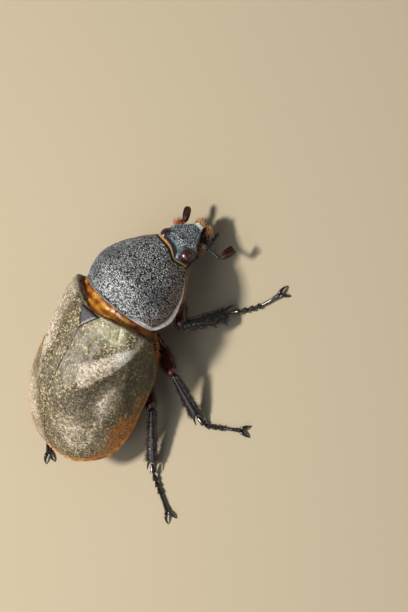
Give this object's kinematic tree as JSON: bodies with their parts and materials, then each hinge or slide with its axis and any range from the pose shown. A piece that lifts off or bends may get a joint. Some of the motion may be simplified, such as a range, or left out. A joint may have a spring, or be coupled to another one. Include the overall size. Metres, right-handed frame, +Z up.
{
  "type": "female rhinoceros beetle model",
  "caption": "Hornless female rhinoceros beetle, life size, standing with its legs spread and its head lowered, as a museum shows it.",
  "frame": {"origin": "middle of the whole beetle's box, legs included, at the level of the floor it stands on", "axes": "+Y towards the tail, so the head faces -Y; +Z up; +X to the beetle's left"},
  "size_m": [0.0584, 0.0648, 0.0215],
  "materials": {
    "wing_case": "olive grey-brown with a dense short gold-grey pubescence and pale worn patches",
    "pronotum": "charcoal, densely granulate with a satin sheen",
    "head": "blue-black, punctured, satin",
    "scutellum": "dark purple-grey, finely punctured",
    "amber_membrane": "glossy amber with darker brown spots",
    "underside": "dark red-brown, glossy, with sparse orange hair",
    "eye": "polished dark maroon",
    "mouthparts": "glossy black-brown",
    "antenna_club": "satin maroon",
    "thigh": "glossy dark red-brown",
    "shin_and_foot": "glossy black with spines and hair"
  },
  "bodies": {
    "root": {"abdomen": "underside", "antenna_left": "mouthparts", "antenna_right": "mouthparts", "club_left": "antenna_club", "club_right": "antenna_club", "elytron_left": "wing_case", "elytron_right": "wing_case", "eye_left": "eye", "eye_right": "eye", "front_leg_left_femur": "thigh", "front_leg_left_tarsus": "shin_and_foot", "front_leg_left_tibia": "shin_and_foot", "front_leg_right_femur": "thigh", "front_leg_right_tarsus": "shin_and_foot", "front_leg_right_tibia": "shin_and_foot", "head": "head", "hind_leg_left_femur": "thigh", "hind_leg_left_tarsus": "shin_and_foot", "hind_leg_left_tibia": "shin_and_foot", "hind_leg_right_femur": "thigh", "hind_leg_right_tarsus": "shin_and_foot", "hind_leg_right_tibia": "shin_and_foot", "labium": "mouthparts", "mandible_left": "mouthparts", "mandible_right": "mouthparts", "middle_leg_left_femur": "thigh", "middle_leg_left_tarsus": "shin_and_foot", "middle_leg_left_tibia": "shin_and_foot", "middle_leg_right_femur": "thigh", "middle_leg_right_tarsus": "shin_and_foot", "middle_leg_right_tibia": "shin_and_foot", "palp_left": "mouthparts", "palp_right": "mouthparts", "pronotum": "pronotum", "prothorax": "underside", "pygidium": "underside", "scutellum": "scutellum", "thorax": "underside", "waist": "amber_membrane"}
  },
  "joints": []
}
